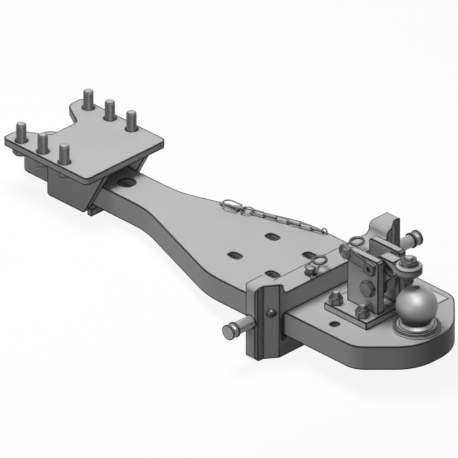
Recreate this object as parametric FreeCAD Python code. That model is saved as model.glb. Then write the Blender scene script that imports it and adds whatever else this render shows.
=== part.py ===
import FreeCAD, Part
import math
import os

# Drawbar hitch with ball, hold-down, cross carriage and front mounting plate.
# Millimetres. X runs along the drawbar towards the ball, Y across, Z up.
# The origin is the centre of the 80 mm tow ball.

V = FreeCAD.Vector
X_AXIS = V(1, 0, 0)
Y_AXIS = V(0, 1, 0)
Z_AXIS = V(0, 0, 1)

# Clearances shared by the fits, and how far a cutting body runs past a face
RUN_GAP = 0.3
PAST = 2.0

# Tow ball
BALL_R = 40.0
BALL_HEIGHT = 48.0
TOP = -BALL_HEIGHT
BALL_FLANGE_R = 46.0
BALL_FLANGE_T = 6.5
BALL_STEP_R = 40.0
BALL_STEP_T = 3.5
BALL_NECK_R = 25.0
BALL_NECK_FOOT_R = 34.0
BALL_SPIGOT_R = 25.0
BALL_SPIGOT_SHORT = 1.0
BALL_DIMPLE_R = 4.5
BALL_DIMPLE_DEPTH = 7.0
BALL_BOLT_R = 12.0
BALL_BOLT_IN = 36.0
BALL_BOLT_AF = 36.0
BALL_BOLT_HEAD_T = 15.0
BALL_WASHER_R = 35.0
BALL_WASHER_T = 8.0

# Drawbar plate
BAR_T = 50.0
BAR_FRONT_X = -1027.0
BAR_REAR_X = 52.0
BAR_NARROW_HALF = 45.0
BAR_WIDE_HALF = 135.0
TAPER_START_X = -678.6
TAPER_END_X = -425.0
FRONT_CORNER_R = 30.0
TAPER_R = 200.0
REAR_SHOULDER_X = -32.5
REAR_SHOULDER_R = 50.0
REAR_NOSE_HALF = 50.5
REAR_NOSE_R = 100.0
PIVOT_HOLE_X = -775.0
PIVOT_HOLE_R = 16.0
SLOT_PITCH = 100.0
SLOT_FIRST_X = -433.5
SLOT_ROWS = 3
SLOT_HALF_Y = 50.0
SLOT_W = 18.0
SLOT_L = 29.0
SMALL_HOLE_X = -118.5
SMALL_HOLE_Y = 100.0
SMALL_HOLE_R = 8.5

# Front mounting plate
FP_FRONT_X = -1005.0
FP_REAR_X = -776.0
FP_HALF = 107.5
FP_T = 15.0
FP_GAP = 35.0
FP_CORNER_R = 10.0
RECESS_X = -946.0
RECESS_HALF = 35.5
MOUTH_HALF = 68.0
RECESS_R = 18.0
HORN_R = 24.0

# Front studs
STUD_R = 10.0
STUD_OUT = 37.0
STUD_PITCH = 58.5
STUD_FIRST_X = -970.5
STUD_HALF_Y = 90.0
STUD_HOLE_R = 11.25
STUD_HOLE_CHAMFER = 1.0
STUD_TIP_CHAMFER = 2.2
M20_AF = 30.0
M20_HEAD_T = 12.5

# Front cheeks and keeper
CHEEK_T = 12.0
CHEEK_IN = 48.0
CHEEK_BOTTOM = -65.0
CHEEK_FRONT_X = -931.0
CHEEK_REAR_LOW_X = -831.0
CHEEK_FOOT_R = 7.0
KEEPER_T = 15.0
KEEPER_FRONT_X = -925.0
KEEPER_STEP_X = -822.0
KEEPER_REAR_X = -811.0

# Cross carriage, placed by its lock bolts in the last row of slots
LOCK_IN_SLOT = 1.5
LOCK_X = SLOT_FIRST_X + (SLOT_ROWS - 1) * SLOT_PITCH + LOCK_IN_SLOT
LOCK_FROM_FRONT = 32.5
YOKE_T = 50.0
TONGUE_T = 32.0
YOKE_FRONT_X = LOCK_X - LOCK_FROM_FRONT
YOKE_REAR_X = YOKE_FRONT_X + YOKE_T
TONGUE_REAR_X = YOKE_FRONT_X + TONGUE_T
YOKE_HALF = 195.0
TONGUE_OUT = 18.5
BEVEL_RUN = 25.5
TONGUE_IN_Y = YOKE_HALF - TONGUE_OUT
BEVEL_IN_Y = TONGUE_IN_Y - BEVEL_RUN
YOKE_BOTTOM = -92.0
YOKE_TOP = 67.0
BRIDGE_TOP = 43.0
WINDOW_SIDE_GAP = 11.0
WINDOW_HALF = BAR_WIDE_HALF + WINDOW_SIDE_GAP
WINDOW_R = 11.0
WINDOW_RELIEF_R = 7.0
BLOCK_TOP_IN_Y = BEVEL_IN_Y
SHOULDER_R = 12.0
YOKE_EDGE_R = 10.0
TONGUE_CHAMFER = 4.0

# Side pins
SIDE_PIN_X = YOKE_FRONT_X + TONGUE_T / 2.0
SIDE_PIN_Z = -9.0
SIDE_PIN_R = 12.5
SIDE_PIN_KNOB_R = 15.5
SIDE_PIN_WAIST_R = 9.5
SIDE_PIN_IN = 6.0
SIDE_PIN_OUT = 41.0
SIDE_PIN_KNOB_L = 18.5
SIDE_PIN_INNER_Y = WINDOW_HALF - SIDE_PIN_IN
SIDE_PIN_KNOB_Y = YOKE_HALF + SIDE_PIN_OUT
SIDE_PIN_END_Y = SIDE_PIN_KNOB_Y + SIDE_PIN_KNOB_L

# Side screws on the bevels
SCREW_HEAD_R = 10.5
SCREW_HEAD_T = 6.6
SCREW_SHANK_R = 6.0
SCREW_DEPTH = 16.0
SOCKET_AF = 8.0
SOCKET_DEPTH = 3.8
SCREW_Z = 6.0

# Lock bolts through the bridge
LOCK_HALF_Y = SLOT_HALF_Y
LOCK_R = 8.0
LOCK_BELOW = 22.0
LOCK_REACH = -BAR_T - LOCK_BELOW
LOCK_BORE_SPARE = 4.0
LOCK_COLLAR_R = 12.2
LOCK_COLLAR_T = 4.0
LOCK_HEAD_R = 10.0
LOCK_HEAD_TOP = 13.0
LOCK_DOME_H = 4.0
LOCK_NOSE_W = 7.0
LOCK_NOSE_L = 26.0
LOCK_NOSE_TURN = -38.0
RING_WIRE_R = 3.0
RING_LEG_R = 2.2
RING_R = 12.8
RING_CENTRE = 25.0
RING_RISE = 9.0
RING_PIVOT = 8.5
RING_TILT = 5.0
RING_LEG_GAP = 1.8

# Hold-down bracket
HB_FRONT_X = -171.0
HB_L = 111.0
HB_REAR_X = HB_FRONT_X + HB_L
HB_T = 15.0
HB_BOLT_IN = 16.0
HB_BOLT_PITCH = 70.0
HB_BOLT_FRONT_X = HB_FRONT_X + HB_BOLT_IN
HB_BOLT_REAR_X = HB_BOLT_FRONT_X + HB_BOLT_PITCH
HB_BOLT_Y = 60.0
HB_BOLT_EDGE = 15.0
HB_HALF = HB_BOLT_Y + HB_BOLT_EDGE
HC_SET_IN = 23.5
HC_L = 81.0
HC_FRONT_X = HB_FRONT_X + HC_SET_IN
HC_REAR_X = HC_FRONT_X + HC_L
HC_IN = 21.0
HC_T = 16.0
HC_TOP = 127.0
HC_CHAMFER = 4.0
M16_R = 8.0
M16_AF = 24.0
M16_HEAD_T = 10.0
M16_HEX_T = 14.0
M16_NUT_T = 19.0
M16_OUT = 5.0

# Hold-down arm
PIVOT_X = -88.0
PIVOT_Z = 66.0
PIVOT_R = 10.0
PIVOT_NUT_T = 16.0
PIVOT_TAIL = 5.0
ARM_HALF = 12.5
ARM_TOP_Z = 125.0
ARM_TOP_FRONT_X = -83.0
ARM_TOP_REAR_X = -55.0
ARM_FOOT_R = 20.0
EYE_X = -21.5
EYE_R = 26.0
EYE_BOTTOM = 108.0
EYE_TOP = 131.0
EYE_FOOT_CHAMFER = 5.0
EYE_FLAT_R = 18.0
EYE_SHOULDER = 5.0
LOCK_PIN_X = -84.0
LOCK_PIN_Z = 110.5
LOCK_PIN_R = 8.0
LOCK_PIN_TAIL_Y = 44.0
ARM_SWING = 32.0
SPACER_R = 17.0

# Hold-down adjusting screw
ADJ_R = 10.0
ADJ_BOTTOM = 89.0
ADJ_TOP = 145.0
ADJ_NUT_T = 10.0

# Lock pin lever
LEVER_T = 5.0
LEVER_HALF_W = 9.5
LEVER_END_HALF_W = 12.5
LEVER_BLOCK_HALF = 12.0
LEVER_BLOCK_T = 8.0
LEVER_GAP = 0.4
FINGER_X = -150.0
FINGER_Z = 121.0
FINGER_R = 12.2
FINGER_WIRE_R = 3.6

# Name plate place, left bare
TAG_FRONT_X = -105.0
TAG_REAR_X = -33.0
TAG_FROM_EDGE = 14.0
TAG_FROM_BASE = 1.0
TAG_OUT_Y = BAR_WIDE_HALF - TAG_FROM_EDGE
TAG_IN_Y = HB_HALF + TAG_FROM_BASE
TAG_T = 1.0

# Chain with clip pin
CHAIN_X = -375.0
CHAIN_FROM_EDGE = 9.0
CHAIN_Y = BAR_WIDE_HALF - CHAIN_FROM_EDGE
CHAIN_TURN = 196.0
LINK_WIRE_R = 1.5
LINK_W = 12.6
LINK_PITCH = 26.0
LINK_COUNT = 6
LINK_LEAN = 45.0
LINK_GAP = 0.2
STAPLE_WIRE_R = 1.5
STAPLE_HALF_L = 4.6
STAPLE_RISE = 2.5
SPLIT_R = 12.5
SPLIT_WIRE_R = 1.5
SPLIT_GAP = 0.65
CLIP_R = 3.0
CLIP_TIP = 48.0
CLIP_HEAD_R = 5.0
CLIP_HEAD_BACK = -5.5
CLIP_HEAD_FRONT = 11.0
CLIP_HOLE_R = 2.7
CLIP_PIVOT = 6.5
CLIP_LOOP_R = 13.5
CLIP_LOOP_END = 40.0
CLIP_WIRE_R = 1.5


def box(x0, x1, y0, y1, z0, z1):
    return Part.makeBox(x1 - x0, y1 - y0, z1 - z0, V(x0, y0, z0))


def rod(radius, start, end):
    axis = end.sub(start)
    return Part.makeCylinder(radius, axis.Length, start, axis)


def upright(radius, x, y, z0, z1):
    return rod(radius, V(x, y, z0), V(x, y, z1))


def across(radius, x, z, y0, y1):
    return rod(radius, V(x, y0, z), V(x, y1, z))


def hexagon(across_flats, x, y, z0, z1, turn=15.0):
    # Hexagon prism turned about its axis, with a light chamfer cone
    radius = across_flats / math.sqrt(3.0)
    points = []
    for i in range(6):
        angle = math.radians(60.0 * i + turn)
        points.append(V(x + radius * math.cos(angle), y + radius * math.sin(angle), z0))
    points.append(points[0])
    prism = Part.Face(Part.makePolygon(points)).extrude(V(0, 0, z1 - z0))
    height = z1 - z0
    cone = Part.makeCone(across_flats * 0.5 + height * 1.75, across_flats * 0.475, height * 1.0, V(x, y, z0))
    return prism.common(cone)


def rounded_outline(corners, z):
    # Closed wire through corner points, each turned by its own radius
    count = len(corners)
    starts = []
    for i in range(count):
        x, y, radius = corners[i]
        before = V(corners[i - 1][0] - x, corners[i - 1][1] - y, 0)
        after = V(corners[(i + 1) % count][0] - x, corners[(i + 1) % count][1] - y, 0)
        before.normalize()
        after.normalize()
        corner = V(x, y, z)
        if radius <= 0.0:
            starts.append((corner, None, corner))
            continue
        half = before.getAngle(after) / 2.0
        reach = radius / math.tan(half)
        inward = before.add(after)
        inward.normalize()
        middle = corner.add(inward.multiply(radius / math.sin(half) - radius))
        first = corner.add(V(before).multiply(reach))
        last = corner.add(V(after).multiply(reach))
        starts.append((first, middle, last))
    edges = []
    for i in range(count):
        first, middle, last = starts[i]
        if middle is not None:
            edges.append(Part.Arc(first, middle, last).toShape())
        following = starts[(i + 1) % count][0]
        if last.distanceToPoint(following) > 0.001:
            edges.append(Part.LineSegment(last, following).toShape())
    return Part.Wire(edges)


def slab(corners, z0, z1):
    return Part.Face(rounded_outline(corners, z0)).extrude(V(0, 0, z1 - z0))


def side_slab(corners, y0, y1):
    # Outline drawn in X and Z, thickness along Y
    flat = slab(corners, 0.0, y1 - y0)
    flat.rotate(V(0, 0, 0), X_AXIS, 90.0)
    flat.translate(V(0, y1, 0))
    return flat


def mirrored_corners(half):
    # Corners given for one side, repeated on the other side of Y = 0
    return half + [(x, -y, radius) for x, y, radius in reversed(half)]


def turned(profile, x, y):
    # Solid of revolution about an upright axis from radius and height pairs
    points = [V(radius, 0, z) for radius, z in profile]
    face = Part.Face(Part.makePolygon(points + [points[0]]))
    body = face.revolve(V(0, 0, 0), Z_AXIS, 360.0)
    body.translate(V(x, y, 0))
    return body


def slot(x, y, length, width, z0, z1):
    straight = (length - width) / 2.0
    body = box(x - straight, x + straight, y - width / 2.0, y + width / 2.0, z0, z1)
    for side in (-1, 1):
        body = body.fuse(upright(width / 2.0, x + side * straight, y, z0, z1))
    return body


def front_face_z():
    return TOP + FP_GAP + FP_T


def stud_places():
    return [
        (STUD_FIRST_X + i * STUD_PITCH, side * STUD_HALF_Y)
        for i in range(3)
        for side in (-1, 1)
    ]


def base_bolt_places():
    return [
        (x, side * HB_BOLT_Y)
        for x in (HB_BOLT_FRONT_X, HB_BOLT_REAR_X)
        for side in (-1, 1)
    ]


# Drawbar and its holes

def drawbar_plate():
    half = [
        (BAR_FRONT_X, -BAR_NARROW_HALF, FRONT_CORNER_R),
        (TAPER_START_X, -BAR_NARROW_HALF, TAPER_R),
        (TAPER_END_X, -BAR_WIDE_HALF, TAPER_R),
        (REAR_SHOULDER_X, -BAR_WIDE_HALF, REAR_SHOULDER_R),
        (BAR_REAR_X, -REAR_NOSE_HALF, REAR_NOSE_R),
    ]
    low = TOP - BAR_T
    body = slab(mirrored_corners(half), low, TOP)
    body = body.cut(upright(PIVOT_HOLE_R, PIVOT_HOLE_X, 0, low - 1, TOP + 1))
    for row in range(SLOT_ROWS):
        for side in (-1, 1):
            x = SLOT_FIRST_X + row * SLOT_PITCH
            body = body.cut(slot(x, side * SLOT_HALF_Y, SLOT_L, SLOT_W, low - 1, TOP + 1))
    for side in (-1, 1):
        body = body.cut(upright(SMALL_HOLE_R, SMALL_HOLE_X, side * SMALL_HOLE_Y, low - 1, TOP + 1))
    body = body.cut(upright(BALL_SPIGOT_R, 0, 0, low - 1, TOP + 1))
    for x, y in base_bolt_places():
        body = body.cut(upright(M16_R, x, y, low - 1, TOP + 1))
    return body


# Front mounting plate with its open recess and two horns

def front_plate():
    half = [
        (RECESS_X, -RECESS_HALF, RECESS_R),
        (FP_FRONT_X, -MOUTH_HALF, HORN_R),
        (FP_FRONT_X, -FP_HALF, FP_CORNER_R),
        (FP_REAR_X, -FP_HALF, FP_CORNER_R),
    ]
    low = TOP + FP_GAP
    top = front_face_z()
    body = slab(mirrored_corners(half), low, top)
    for x, y in stud_places():
        body = body.cut(upright(STUD_HOLE_R, x, y, low - 1, top + 1))
        flare = Part.makeCone(
            STUD_HOLE_R, STUD_HOLE_R + STUD_HOLE_CHAMFER + 0.5, STUD_HOLE_CHAMFER + 0.5,
            V(x, y, top - STUD_HOLE_CHAMFER))
        body = body.cut(flare)
    return body


def front_bolts():
    # Six bolts from below, heads against the underside of the plate
    under = TOP + FP_GAP
    tip = front_face_z() + STUD_OUT
    solids = []
    for x, y in stud_places():
        shank = upright(STUD_R, x, y, under - 0.5, tip)
        edge = [e for e in shank.Edges if abs(e.BoundBox.ZMin - tip) < 0.01 and e.BoundBox.ZLength < 0.01]
        shank = shank.makeChamfer(STUD_TIP_CHAMFER, edge)
        head = hexagon(M20_AF, x, y, 0, M20_HEAD_T)
        head.rotate(V(x, y, 0), X_AXIS, 180.0)
        head.translate(V(0, 0, under))
        solids.append(head.fuse(shank).removeSplitter())
    return Part.makeCompound(solids)


def front_cheek(side):
    top = TOP + FP_GAP
    low = TOP + CHEEK_BOTTOM
    corners = [
        (CHEEK_FRONT_X, low, CHEEK_FOOT_R),
        (CHEEK_REAR_LOW_X, low, CHEEK_FOOT_R),
        (FP_REAR_X, top, 0),
        (CHEEK_FRONT_X, top, 0),
    ]
    inner = CHEEK_IN
    outer = CHEEK_IN + CHEEK_T
    if side < 0:
        return side_slab(corners, -outer, -inner)
    return side_slab(corners, inner, outer)


def front_keeper():
    # Cross plate under the drawbar, with a lip that closes behind both cheeks
    top = TOP - BAR_T
    half = [
        (KEEPER_FRONT_X, -CHEEK_IN, 0),
        (KEEPER_STEP_X, -CHEEK_IN, 0),
        (KEEPER_STEP_X, -CHEEK_IN - CHEEK_T, 0),
        (KEEPER_REAR_X, -CHEEK_IN - CHEEK_T, 0),
    ]
    return slab(mirrored_corners(half), top - KEEPER_T, top)


# Cross carriage: window round the drawbar, bridge above and a tongue at each end

def yoke_plan():
    half = [
        (YOKE_FRONT_X, -YOKE_HALF + TONGUE_CHAMFER, 0),
        (YOKE_FRONT_X + TONGUE_CHAMFER, -YOKE_HALF, 0),
        (TONGUE_REAR_X - TONGUE_CHAMFER, -YOKE_HALF, 0),
        (TONGUE_REAR_X, -YOKE_HALF + TONGUE_CHAMFER, 0),
        (TONGUE_REAR_X, -TONGUE_IN_Y, 0),
        (YOKE_REAR_X, -BEVEL_IN_Y, 0),
    ]
    return slab(mirrored_corners(half), TOP + YOKE_BOTTOM, TOP + YOKE_TOP)


def yoke_front_profile():
    # Outline in Y and Z, as seen along the drawbar
    rise = YOKE_TOP - BRIDGE_TOP
    step_y = BLOCK_TOP_IN_Y - SHOULDER_R
    reach = rise / 2.0
    half = [
        (-YOKE_HALF, TOP + YOKE_BOTTOM, YOKE_EDGE_R),
        (-YOKE_HALF, TOP + YOKE_TOP, YOKE_EDGE_R),
        (-step_y, TOP + YOKE_TOP, reach),
        (-step_y, TOP + BRIDGE_TOP, reach),
    ]
    corners = half + [(-y, z, radius) for y, z, radius in reversed(half)]
    return standing_slab(corners, YOKE_FRONT_X - 5.0, YOKE_REAR_X + 5.0)


def standing_slab(corners, x0, x1):
    # Outline drawn in Y and Z, thickness along X
    flat = slab(corners, 0.0, x1 - x0)
    flat.rotate(V(0, 0, 0), V(1, 1, 1), 120.0)
    flat.translate(V(x0, 0, 0))
    return flat


def yoke():
    window = [
        (-WINDOW_HALF, TOP - BAR_T, 0),
        (-WINDOW_HALF, TOP, WINDOW_R),
        (WINDOW_HALF, TOP, WINDOW_R),
        (WINDOW_HALF, TOP - BAR_T, 0),
    ]
    body = yoke_plan().common(yoke_front_profile())
    body = body.cut(standing_slab(window, YOKE_FRONT_X - 5.0, YOKE_REAR_X + 5.0))
    for side in (-1, 1):
        # Round relief in each lower corner of the window
        relief_y = side * (WINDOW_HALF - WINDOW_RELIEF_R)
        low = TOP - BAR_T
        body = body.cut(rod(WINDOW_RELIEF_R, V(YOKE_FRONT_X - PAST, relief_y, low), V(YOKE_REAR_X + PAST, relief_y, low)))
        z = TOP + SIDE_PIN_Z
        inner = SIDE_PIN_INNER_Y - PAST
        body = body.cut(across(SIDE_PIN_R + RUN_GAP, SIDE_PIN_X, z, side * inner, side * (YOKE_HALF + PAST)))
        y = side * LOCK_HALF_Y
        low = TOP + LOCK_REACH - LOCK_BORE_SPARE
        body = body.cut(upright(LOCK_R + RUN_GAP, LOCK_X, y, low, TOP + BRIDGE_TOP + PAST))
        start, out = bevel_place(side)
        body = body.cut(rod(SCREW_SHANK_R, start.add(V(out).multiply(2)), start.sub(V(out).multiply(SCREW_DEPTH))))
    return body


def bevel_place(side):
    # Middle of the bevel face and its outward direction
    run_x = YOKE_REAR_X - TONGUE_REAR_X
    run_y = TONGUE_IN_Y - BEVEL_IN_Y
    out = V(run_y, side * run_x, 0)
    out.normalize()
    start = V((YOKE_REAR_X + TONGUE_REAR_X) / 2.0, side * (TONGUE_IN_Y + BEVEL_IN_Y) / 2.0, TOP + SCREW_Z)
    return start, out


def side_pin(side):
    # Round pin with a spool-shaped knob: two rims and a hollow waist between them
    z = TOP + SIDE_PIN_Z
    body = across(SIDE_PIN_R, SIDE_PIN_X, z, side * SIDE_PIN_INNER_Y, side * (SIDE_PIN_KNOB_Y + 1))
    start = [e for e in body.Edges if abs(abs(e.CenterOfMass.y) - SIDE_PIN_INNER_Y) < 0.01]
    body = body.makeChamfer(1.5, start)
    knob = across(SIDE_PIN_KNOB_R, SIDE_PIN_X, z, side * SIDE_PIN_KNOB_Y, side * SIDE_PIN_END_Y)
    middle = side * (SIDE_PIN_KNOB_Y + SIDE_PIN_END_Y) / 2.0
    hollow_r = SIDE_PIN_KNOB_R - SIDE_PIN_WAIST_R
    hollow = Part.makeTorus(SIDE_PIN_KNOB_R, hollow_r, V(SIDE_PIN_X, middle, z), Y_AXIS)
    return body.fuse(knob.cut(hollow)).removeSplitter()


def side_screws():
    # Button heads on the bevels with a hexagon socket
    solids = []
    for side in (-1, 1):
        start, out = bevel_place(side)
        shank = rod(SCREW_SHANK_R, start.sub(V(out).multiply(SCREW_DEPTH - 0.5)), start)
        sphere_r = (SCREW_HEAD_R ** 2 + SCREW_HEAD_T ** 2) / (2.0 * SCREW_HEAD_T)
        ball = Part.makeSphere(sphere_r, start.add(V(out).multiply(SCREW_HEAD_T - sphere_r)))
        head = ball.common(rod(SCREW_HEAD_R, start, start.add(V(out).multiply(SCREW_HEAD_T + 1))))
        floor = start.add(V(out).multiply(SCREW_HEAD_T - SOCKET_DEPTH))
        socket = hexagon(SOCKET_AF, 0, 0, 0, SCREW_HEAD_T)
        socket.Placement = FreeCAD.Placement(floor, FreeCAD.Rotation(Z_AXIS, out))
        solids.append(head.cut(socket).fuse(shank).removeSplitter())
    return Part.makeCompound(solids)


# Lock bolts that hold the carriage to the slots of the drawbar

def lock_bolt(side):
    y = side * LOCK_HALF_Y
    seat = TOP + BRIDGE_TOP
    body = upright(LOCK_R, LOCK_X, y, TOP + LOCK_REACH, seat + 1)
    body = body.fuse(upright(LOCK_COLLAR_R, LOCK_X, y, seat, seat + LOCK_COLLAR_T))
    nose = box(0, LOCK_NOSE_L, -LOCK_NOSE_W / 2.0, LOCK_NOSE_W / 2.0, seat, seat + LOCK_COLLAR_T - 0.5)
    nose.rotate(V(0, 0, 0), Z_AXIS, LOCK_NOSE_TURN)
    nose.translate(V(LOCK_X, y, 0))
    body = body.fuse(nose)
    body = body.fuse(upright(LOCK_HEAD_R, LOCK_X, y, seat + LOCK_COLLAR_T - 0.5, seat + LOCK_HEAD_TOP))
    dome_r = (LOCK_HEAD_R ** 2 + LOCK_DOME_H ** 2) / (2.0 * LOCK_DOME_H)
    ball = Part.makeSphere(dome_r, V(LOCK_X, y, seat + LOCK_HEAD_TOP + LOCK_DOME_H - dome_r))
    dome_top = seat + LOCK_HEAD_TOP + LOCK_DOME_H + PAST
    cap = ball.common(upright(LOCK_HEAD_R, LOCK_X, y, seat + LOCK_HEAD_TOP - 0.5, dome_top))
    body = body.fuse(cap).removeSplitter()
    pivot = seat + RING_PIVOT
    through = LOCK_HEAD_R + PAST
    hole = rod(RING_LEG_R + RUN_GAP, V(LOCK_X - through, y, pivot), V(LOCK_X + through, y, pivot))
    return body.cut(hole)


def wire_ring(radius, reach, wire_r, centre_at):
    # Closed loop in the plane Z = 0: cross bar on the Y = 0 line, two legs, round end towards +Y
    body = rod(wire_r, V(-radius, 0, 0), V(radius, 0, 0))
    for side in (-1, 1):
        leg = rod(wire_r, V(side * radius, 0, 0), V(side * radius, reach, 0))
        elbow = Part.makeSphere(wire_r, V(side * radius, 0, 0))
        body = body.fuse(leg).fuse(elbow)
    bow = Part.makeTorus(radius, wire_r, V(0, reach, 0), Z_AXIS, 0, 360, 180)
    body = body.fuse(bow).removeSplitter()
    body.translate(centre_at)
    return body


def lock_ring(side):
    # Round pull ring, its two legs cranked down to the cross hole in the bolt head
    half = LOCK_HEAD_R + RING_LEG_R + RING_LEG_GAP
    body = rod(RING_LEG_R, V(-half, 0, 0), V(half, 0, 0))
    spread = math.radians(45.0)
    for turn in (-1, 1):
        knee = V(turn * half, 0, 0)
        joint = V(turn * RING_R * math.sin(spread), RING_CENTRE - RING_R * math.cos(spread), RING_RISE)
        body = body.fuse(rod(RING_LEG_R, knee, joint)).fuse(Part.makeSphere(RING_LEG_R, knee))
    body = body.fuse(Part.makeTorus(RING_R, RING_WIRE_R, V(0, RING_CENTRE, RING_RISE), Z_AXIS))
    body.rotate(V(0, 0, 0), X_AXIS, RING_TILT)
    body.translate(V(LOCK_X, side * LOCK_HALF_Y, TOP + BRIDGE_TOP + RING_PIVOT))
    return body.removeSplitter()


# Hold-down bracket

def hold_base():
    body = box(HB_FRONT_X, HB_REAR_X, -HB_HALF, HB_HALF, TOP, TOP + HB_T)
    for x, y in base_bolt_places():
        body = body.cut(upright(M16_R, x, y, TOP - 1, TOP + HB_T + 1))
    return body


def hold_cheek(side):
    low = TOP + HB_T
    top = TOP + HC_TOP
    chamfer = HC_CHAMFER
    corners = [
        (HC_FRONT_X, low, 0),
        (HC_REAR_X, low, 0),
        (HC_REAR_X, top - chamfer, 0),
        (HC_REAR_X - chamfer, top, 0),
        (HC_FRONT_X + chamfer, top, 0),
        (HC_FRONT_X, top - chamfer, 0),
    ]
    y0, y1 = sorted((side * HC_IN, side * (HC_IN + HC_T)))
    body = side_slab(corners, y0, y1)
    body = body.cut(across(PIVOT_R, PIVOT_X, TOP + PIVOT_Z, y0 - 1, y1 + 1))
    body = body.cut(across(LOCK_PIN_R + RUN_GAP, LOCK_PIN_X, TOP + LOCK_PIN_Z, y0 - 1, y1 + 1))
    return body


def hold_base_bolts():
    # Bolts come up through the drawbar, heads underneath
    under = TOP - BAR_T
    tip = TOP + HB_T + M16_NUT_T + M16_OUT
    solids = []
    for x, y in base_bolt_places():
        shank = upright(M16_R, x, y, under - 0.5, tip)
        edge = [e for e in shank.Edges if abs(e.BoundBox.ZMin - tip) < 0.01 and e.BoundBox.ZLength < 0.01]
        shank = shank.makeChamfer(1.8, edge)
        head = hexagon(M16_AF, x, y, 0, M16_HEAD_T)
        head.rotate(V(x, y, 0), X_AXIS, 180.0)
        head.translate(V(0, 0, under))
        solids.append(head.fuse(shank).removeSplitter())
    return Part.makeCompound(solids)


def hold_base_nuts():
    # Lock nuts: a hexagon with a round collar on top that tapers towards the bolt
    low = TOP + HB_T
    top = low + M16_NUT_T
    collar_r = 0.475 * M16_AF
    solids = []
    for x, y in base_bolt_places():
        nut = hexagon(M16_AF, x, y, low, low + M16_HEX_T, -15.0)
        collar = turned([
            (0, low + 1),
            (collar_r, low + 1),
            (collar_r, low + M16_HEX_T),
            (0.95 * collar_r, (low + M16_HEX_T + top) / 2.0),
            (0.8 * collar_r, top),
            (0, top),
        ], x, y)
        solids.append(nut.fuse(collar).cut(upright(M16_R, x, y, low - 1, top + 1)).removeSplitter())
    return Part.makeCompound(solids)


def hex_across(across_flats, x, z, y, thickness, toward):
    # Hexagon whose flat seat lies at y and whose chamfered face looks towards toward
    body = hexagon(across_flats, 0, 0, 0, thickness)
    body.rotate(V(0, 0, 0), X_AXIS, -90.0 * toward)
    body.translate(V(x, y, z))
    return body


def pivot_bolt():
    z = TOP + PIVOT_Z
    outer = HC_IN + HC_T
    shank = across(PIVOT_R, PIVOT_X, z, -outer - 0.5, outer + PIVOT_NUT_T + PIVOT_TAIL)
    head = hex_across(M20_AF, PIVOT_X, z, -outer, M20_HEAD_T, -1)
    return shank.fuse(head).removeSplitter()


def pivot_nut():
    z = TOP + PIVOT_Z
    outer = HC_IN + HC_T
    nut = hex_across(M20_AF, PIVOT_X, z, outer, PIVOT_NUT_T, 1)
    return nut.cut(across(PIVOT_R, PIVOT_X, z, outer - 1, outer + PIVOT_NUT_T + 1))


def pivot_spacers():
    # Distance rings that centre the arm between the cheeks
    z = TOP + PIVOT_Z
    solids = []
    for side in (-1, 1):
        ring = across(SPACER_R, PIVOT_X, z, side * (ARM_HALF + RUN_GAP), side * HC_IN)
        solids.append(ring.cut(across(PIVOT_R, PIVOT_X, z, side * ARM_HALF * 0.5, side * (HC_IN + 1))))
    return Part.makeCompound(solids)


# Hold-down arm that swings over the ball

def arm_slot():
    # Curved slot round the pivot that the lock pin runs in
    z = TOP + PIVOT_Z
    reach = math.hypot(LOCK_PIN_X - PIVOT_X, LOCK_PIN_Z - PIVOT_Z)
    start = math.degrees(math.atan2(LOCK_PIN_Z - PIVOT_Z, LOCK_PIN_X - PIVOT_X))
    half_w = LOCK_PIN_R + RUN_GAP + 0.1
    ring = across(reach + half_w, PIVOT_X, z, -ARM_HALF - 1, ARM_HALF + 1)
    ring = ring.cut(across(reach - half_w, PIVOT_X, z, -ARM_HALF - 2, ARM_HALF + 2))
    end = start - ARM_SWING - 1.0
    far = 3.0 * reach
    fan = [(PIVOT_X, z, 0)]
    for angle in (end, (start + end) / 2.0, start):
        fan.append((PIVOT_X + far * math.cos(math.radians(angle)), z + far * math.sin(math.radians(angle)), 0))
    ring = ring.common(side_slab(fan, -ARM_HALF - 1, ARM_HALF + 1))
    for angle in (start, end):
        x = PIVOT_X + reach * math.cos(math.radians(angle))
        up = z + reach * math.sin(math.radians(angle))
        ring = ring.fuse(across(half_w, x, up, -ARM_HALF - 1, ARM_HALF + 1))
    return ring


def hold_arm():
    foot = ARM_FOOT_R
    low = PIVOT_Z - foot
    corners = [
        (PIVOT_X - foot, TOP + low, foot - 3.0),
        (PIVOT_X + foot, TOP + low, foot - 3.0),
        (PIVOT_X + foot, TOP + PIVOT_Z + 10.0, 12.0),
        (EYE_X - 18.0, TOP + EYE_BOTTOM - 4.0, 6.0),
        (EYE_X - 12.0, TOP + EYE_BOTTOM + 4.0, 0),
        (EYE_X - 12.0, TOP + ARM_TOP_Z - 2.0, 0),
        (ARM_TOP_REAR_X + 4.0, TOP + ARM_TOP_Z - 2.0, 0),
        (ARM_TOP_REAR_X + 3.0, TOP + ARM_TOP_Z, 0),
        (ARM_TOP_FRONT_X - 5.0, TOP + ARM_TOP_Z, 8.0),
        (LOCK_PIN_X - 17.0, TOP + LOCK_PIN_Z - 2.0, 10.0),
    ]
    body = side_slab(corners, -ARM_HALF, ARM_HALF)
    eye = turned([
        (0, TOP + EYE_BOTTOM),
        (EYE_R - EYE_FOOT_CHAMFER, TOP + EYE_BOTTOM),
        (EYE_R, TOP + EYE_BOTTOM + EYE_FOOT_CHAMFER),
        (EYE_R, TOP + EYE_TOP - EYE_SHOULDER),
        (EYE_FLAT_R, TOP + EYE_TOP),
        (0, TOP + EYE_TOP),
    ], EYE_X, 0)
    body = body.fuse(eye).removeSplitter()
    body = body.cut(arm_slot())
    body = body.cut(across(PIVOT_R + RUN_GAP, PIVOT_X, TOP + PIVOT_Z, -ARM_HALF - 1, ARM_HALF + 1))
    return body.cut(upright(ADJ_R + RUN_GAP, EYE_X, 0, TOP + ADJ_BOTTOM - PAST, TOP + EYE_TOP + PAST))


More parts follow.
